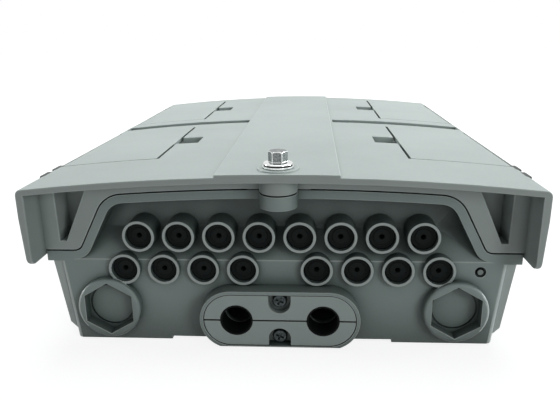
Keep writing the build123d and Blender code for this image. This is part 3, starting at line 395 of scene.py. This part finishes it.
# EPDM rubber: near black, dull, with the faint bloom and pimpling of a moulded rubber. The
# pimples are finer in life and drawn at 0.7 mm, so that they show.
epdm = moulded("moulded_epdm_black", "0b0f0f", "111616", 0.66, 0.7, 0.03, cloud_mm=6, shine=0.15)
plug_set_back = 0.0025
pilot, in_bore, shoulder = 1.2, 6.38, 7.6
face_to_shoulder, face_to_end = 20.5, 22.5
pattern = turned("plug_pattern", (0, port_face + plug_set_back, 0), "Y", 40, (
    (pilot, 5.0), (pilot, 0.3), (1.4, 0.0), (3.9, 0.0), (4.2, 0.3), (4.9, 0.3), (5.2, 0.0),
    (6.0, 0.0), (in_bore, 0.35), (in_bore, face_to_shoulder), (shoulder, face_to_shoulder),
    (shoulder, face_to_end), (5.6, face_to_end), (5.0, 19.5)))
port_pitch, first_low_port = 0.0197, 0.0181
top_row, low_row = 0.057, 0.0398
ports = [((i - 3.5) * port_pitch, top_row) for i in range(8)]
ports += [(side * (first_low_port + i * port_pitch), low_row)
          for side, order in ((-1, (3, 2, 1, 0)), (1, (0, 1, 2, 3))) for i in order]
for number, (x, z) in enumerate(ports, start=1):
    plug = copied(pattern, f"rubber_plug_{number:02d}", (x, 0, z))
    finish_piece(plug, "tray", epdm)
    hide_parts(f"port_plug_{number:02d}")
bpy.data.objects.remove(pattern)

# Oval cable gland: two clamp plates of the same ASA, and a soft black block between them and
# the tray that also lines both holes.
# The plates look smoother and paler than the wall, with painted shade in their corners; the
# elastomer is black and almost dead matt.
asa_plate = moulded("moulded_asa_plate", "c3cfcc", "bac6c3", 0.42, 0.8, 0.02,
                    painted_shade_mm=5, painted_shade_code="4d5654")
for part in ("upper", "lower"):
    eased_copy(f"clamp_plate_{part}", "tray", asa_plate, asa_edge_highlight, 0.0004,
               [f"gland_plate_{part}"])
block_rubber = moulded("moulded_gland_elastomer", "080a0b", "0d1011", 0.7, 0.8, 0.03,
                       cloud_mm=8, shine=0.12)
eased_copy("clamp_block", "tray", block_rubber, block_rubber, 0.0002,
           ["gland_rubber"])


# Gland screws: two cross-head screws of zinc-plated steel in round-ended notches of the clamp
# plates. Their heads are cold formed and their crosses punched.
def metal(name, code, dark_code, rough, mark_mm):
    """A metal whose polish and tone are broken up by the marks of its forming."""
    material = bpy.data.materials.new(name)
    tree = new_tree(material)
    place = add_node(tree, "ShaderNodeTexCoord").outputs["Object"]
    marks = add_node(tree, "ShaderNodeTexNoise", Vector=place, Scale=1000 / mark_mm, Detail=4.0,
                     Roughness=0.6)
    spread = add_node(tree, "ShaderNodeMapRange", Value=marks.outputs["Fac"],
                      From_Min=0.35, From_Max=0.65)
    gloss = add_node(tree, "ShaderNodeMapRange", Value=marks.outputs["Fac"],
                     From_Min=0.3, From_Max=0.7, To_Min=rough - 0.06, To_Max=rough + 0.1)
    tint = add_node(tree, "ShaderNodeMix", {"data_type": "RGBA"}, i0=spread.outputs[0],
                    i6=linear(code), i7=linear(dark_code))
    relief = add_node(tree, "ShaderNodeBump", Strength=0.5, Distance=0.00004,
                      Height=marks.outputs["Fac"])
    skin = add_node(tree, "ShaderNodeBsdfPrincipled", Base_Color=tint.outputs[2], Metallic=1.0,
                    Roughness=gloss.outputs[0], Normal=relief.outputs[0])
    add_node(tree, "ShaderNodeOutputMaterial", Surface=skin.outputs[0])
    return material


def cut_with(target, tool, operation):
    """Applies one solid to another, and removes the tool."""
    pick(target)
    change = target.modifiers.new("cut", "BOOLEAN")
    change.operation = operation
    change.solver = "EXACT"
    change.object = tool
    bpy.ops.object.modifier_apply(modifier=change.name)
    bpy.data.objects.remove(tool)


# Zinc plating, written dark grey as a painted shade for heads deep in their notches, with soft,
# broken highlights. The marks of forming are finer in life and drawn at 0.9 mm, so that they show.
zinc = metal("zinc_plated_steel_painted_dark", "4b5152", "33393a", 0.5, 0.9)
notch_depth = 0.0024
notch_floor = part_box("gland_plate_upper")[1][1] - notch_depth
shank, head_radius = 1.9, 3.6
cross_size, cross_turn, cross_middle = (0.0042, 0.0024, 0.0010), 0.4, 0.0020
for row, z in (("upper", 0.0255), ("lower", 0.0063)):
    head = turned(f"gland_screw_{row}", (0, notch_floor, z), "Y", 32, (
        (shank, 14.0), (shank, 0.0), (3.4, 0.0), (head_radius, -0.3), (head_radius, -1.3),
        (3.0, -2.1)))
    for turn in (cross_turn, cross_turn + math.pi / 2):
        bpy.ops.object.select_all(action="DESELECT")
        bpy.ops.mesh.primitive_cube_add(size=1, location=(0, notch_floor - cross_middle, z),
                                        rotation=(0, turn, 0), scale=cross_size)
        cut_with(head, bpy.context.object, "DIFFERENCE")
    finish_piece(head, "tray", zinc)
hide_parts("gland_screws")

# Lock bolt: stainless steel, cold formed, a chamfered hexagon over a round flange. The band
# under the flange is black rubber, a painted shadow line. A steel washer lies below, and a nylon
# clip keeps the bolt in the cover. The flats are written dull grey, a painted dark reflection, and
# the eased edges and flange top are painted white, a painted highlight.
stainless = metal("cold_formed_stainless_steel", "8d9291", "4a4f50", 0.30, 0.7)
painted_steel_highlight = metal("stainless_painted_highlight", "f0f2f1", "d0d3d2", 0.14, 1.2)
bolt_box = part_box("lock_bolt")
bolt_y = (bolt_box[0][1] + bolt_box[1][1]) / 2
bolt_low = bolt_box[0][2] * 1000
bolt_top = bolt_box[1][2] * 1000 - 0.1
flange = bolt_top - 6.5
bolt_shank, flange_radius = 2.5, 6.9
bolt = turned("lock_bolt_head", (0, bolt_y, 0), "Z", 64, (
    (2.1, bolt_low), (bolt_shank, bolt_low + 0.4), (bolt_shank, flange), (6.6, flange),
    (flange_radius, flange + 0.2), (flange_radius, flange + 0.7), (6.5, flange + 1.1),
    (4.6, flange + 1.5)))
half_flats, hexagon_turn, hexagon_height = 0.004, 0.48, 0.0060
bpy.ops.object.select_all(action="DESELECT")
bpy.ops.mesh.primitive_circle_add(vertices=6, radius=half_flats / math.cos(math.pi / 6),
                                  fill_type="NGON", location=(0, bolt_y, (flange + 0.6) / 1000),
                                  rotation=(0, 0, hexagon_turn))
hexagon = bpy.context.object
bpy.ops.object.mode_set(mode="EDIT")
bpy.ops.mesh.select_all(action="SELECT")
bpy.ops.mesh.extrude_region_move(TRANSFORM_OT_translate={"value": (0, 0, hexagon_height)})
bpy.ops.mesh.select_all(action="SELECT")
bpy.ops.mesh.normals_make_consistent(inside=False)
bpy.ops.object.mode_set(mode="OBJECT")
chamfer = turned("cone", (0, bolt_y, 0), "Z", 64, (
    (5.2, flange), (5.2, bolt_top - 0.7), (3.9, bolt_top)))
cut_with(hexagon, chamfer, "INTERSECT")
cut_with(bolt, hexagon, "UNION")
for finish in (stainless, painted_steel_highlight, epdm):
    bolt.data.materials.append(finish)
# The eased edges take the white finish, a painted highlight.
ease = bolt.modifiers.new("ease", "BEVEL")
ease.width = 0.00022
ease.segments = 2
ease.limit_method = "ANGLE"
ease.angle_limit = eased_turn
ease.use_clamp_overlap = False
ease.material = 1
bpy.ops.object.modifier_apply(modifier=ease.name)
finish_piece(bolt, "bolt")
outside_hexagon, outside_washer_bore, shade_line_top = 0.0046, 0.0055, (flange + 0.75) / 1000
# Painted light: upward faces round the hexagon take the white painted highlight, and the band
# under the flange the black rubber, a painted shadow line.
for face in bolt.data.polygons:
    out = math.hypot(face.center.x, face.center.y - bolt_y)
    if outside_hexagon < out and face.normal.z > 0.2:
        face.material_index = 1
    elif outside_washer_bore < out and face.center.z < shade_line_top:
        face.material_index = 2
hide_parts("lock_bolt")
washer_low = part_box("lock_washer")[0][2] * 1000
washer_bore, washer_radius, washer_height = 2.9, 7.3, 1.0
washer = turned("bonded_washer", (0, bolt_y, 0), "Z", 48, (
    (washer_bore, washer_low), (7.0, washer_low), (washer_radius, washer_low + 0.3),
    (washer_radius, washer_low + 0.8), (7.1, washer_low + washer_height),
    (washer_bore, washer_low + washer_height)))
drill = turned("bore", (0, bolt_y, 0), "Z", 48, (
    (washer_bore, washer_low - 1), (washer_bore, washer_low + 2)))
cut_with(washer, drill, "DIFFERENCE")
# The washer is tumbled, so it looks whiter and softer than the bolt. The nylon is black, satin.
washer_steel = metal("washer_stainless_dull", "e9eceb", "cfd4d3", 0.3, 1.0)
finish_piece(washer, "cover", washer_steel)
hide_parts("lock_washer")
nylon = moulded("nylon_black", "23282a", "2b3133", 0.5, 0.8, 0.02, cloud_mm=10)
eased_copy("bolt_clip", "clip", nylon, nylon, 0.00015, ["lock_clip"])

# Small trim: the grey plug of the pressure vent, sunk in its gap, with its eased rim painted
# black as painted shade, and two short dark stops on each side edge of the roof, ahead of the near
# flaps.
# Both are plain satin mouldings, the vent a mid grey and the stops written nearly black, a painted
# shade.
vent_grey = moulded("moulded_vent_plug", "98a19f", "8f9896", 0.5, 0.7, 0.02, cloud_mm=5)
# The vent's eased rim takes the black elastomer, painted shade that widens the dark gap round it.
eased_copy("vent_cap", "tray", vent_grey, block_rubber, 0.0007, ["vent_plug"])
stop_asa_painted_shade = moulded("moulded_stop_painted_shade", "2b3130", "252a29", 0.5, 0.8, 0.02, cloud_mm=8)
lip_y = cad_box[0][1]
side_x = cad_box[1][0]
stop_size, stop_inset, stop_height, stop_slope = (0.0040, 0.0096, 0.0036), 0.0021, 0.0832, 0.0011
for hand, side in (("left", -1), ("right", 1)):
    for number, start in enumerate((0.026, 0.0405), start=1):
        middle = (side * (side_x - stop_inset), lip_y + start + stop_size[1] / 2, stop_height)
        bpy.ops.object.select_all(action="DESELECT")
        bpy.ops.mesh.primitive_cube_add(size=1, location=middle, scale=stop_size)
        stop = bpy.context.object
        stop.name = f"edge_stop_{hand}_{number}"
        bpy.ops.object.mode_set(mode="EDIT")
        bpy.ops.mesh.select_all(action="SELECT")
        bpy.ops.mesh.subdivide(number_cuts=1)
        bpy.ops.object.mode_set(mode="OBJECT")
        for corner in stop.data.vertices:
            corner.select = corner.co.z > 0.4 and corner.co.y > 0.4
        bpy.ops.object.mode_set(mode="EDIT")
        bpy.ops.transform.translate(value=(0, 0, -stop_slope))
        bpy.ops.mesh.select_all(action="SELECT")
        bpy.ops.mesh.bevel(offset=0.0006, segments=2, affect="EDGES")
        bpy.ops.object.mode_set(mode="OBJECT")
        finish_piece(stop, "cover", stop_asa_painted_shade)

# Seal, pins, inserts and screws: a black EPDM cord round the rim, drawn stainless pins in both
# hinges, turned brass inserts in the back and under the bolt, and plated screws inside.
# The pins are smooth and bright, and the brass is a dull yellow with the marks of the lathe.
pin_steel = metal("drawn_stainless_pin", "b9bcbb", "979b9a", 0.26, 0.8)
brass = metal("turned_brass", "b7975a", "97793f", 0.30, 0.8)
for node, material in (("cover_seal", epdm), ("hinge_pins", pin_steel), ("flap_pins", pin_steel),
                       ("lock_insert", brass), ("bracket_inserts", brass),
                       ("inner_screws", zinc)):
    nodes[node].data.materials.clear()
    nodes[node].data.materials.append(material)

# Inside of the box: a moulded adapter panel with blue snap-in adapters and milky dust
# caps, an off-white splice tray under a clear lid, and a black splitter case.
# ABS is satin and plain; PBT is glossier, its eased edges painted paler, a painted highlight; PE
# looks waxy and cloudy.
panel_abs = moulded("moulded_abs_white_grey", "cfd2cf", "c6cac7", 0.48, grain, 0.02)
adapter_pbt = moulded("moulded_pbt_blue", "1f5f9e", "1b5791", 0.30, 0.8, 0.01, cloud_mm=9)
adapter_edge_highlight = moulded("pbt_blue_painted_highlight", "2f72b3", "2a69a7", 0.26, 0.8, 0.01, cloud_mm=9)
cap_pe = moulded("moulded_pe_milky", "dfe4e6", "d3dadd", 0.35, 0.8, 0.01, cloud_mm=4)
tray_abs = moulded("moulded_abs_off_white", "dcdbd3", "d3d3cb", 0.40, grain, 0.02)
case_abs = moulded("moulded_abs_black", "24272a", "2c3033", 0.36, grain, 0.02)
# Polycarbonate: clear and glossy, with slow ripples from the mould about 17 mm long.
lid_pc = bpy.data.materials.new("clear_polycarbonate_lid")
tree = new_tree(lid_pc)
place = add_node(tree, "ShaderNodeTexCoord").outputs["Object"]
ripple = add_node(tree, "ShaderNodeTexNoise", Vector=place, Scale=60, Detail=2.0)
gloss = add_node(tree, "ShaderNodeMapRange", Value=ripple.outputs["Fac"],
                 To_Min=0.06, To_Max=0.16)
relief = add_node(tree, "ShaderNodeBump", Strength=0.3, Distance=0.0001,
                  Height=ripple.outputs["Fac"])
clear = add_node(tree, "ShaderNodeBsdfPrincipled", Base_Color=linear("dfe7ea"), IOR=1.58,
                 Transmission_Weight=0.9, Roughness=gloss.outputs[0], Normal=relief.outputs[0])
add_node(tree, "ShaderNodeOutputMaterial", Surface=clear.outputs[0])
for node, slot, material, ease in (
        ("cable_saddles", "inner_plastic", panel_abs, 0.0004),
        ("adapter_panel", "inner_plastic", panel_abs, 0.0003),
        ("adapter_caps", "cap_plastic", cap_pe, 0.0004),
        ("splice_tray", "splice_plastic", tray_abs, 0.0003),
        ("splice_holder", "splice_plastic", tray_abs, 0.0002),
        ("splice_lid", "lid_plastic", lid_pc, 0.0003),
        ("splitter_module", "splitter_shell", case_abs, 0.0003)):
    eased_copy(node + "_piece", "tray", material, material, ease, [node])
for number in range(1, 17):
    eased_copy(f"blue_adapter_{number:02d}", "tray", adapter_pbt,
               adapter_edge_highlight, 0.0003, [f"fibre_adapter_{number:02d}"])
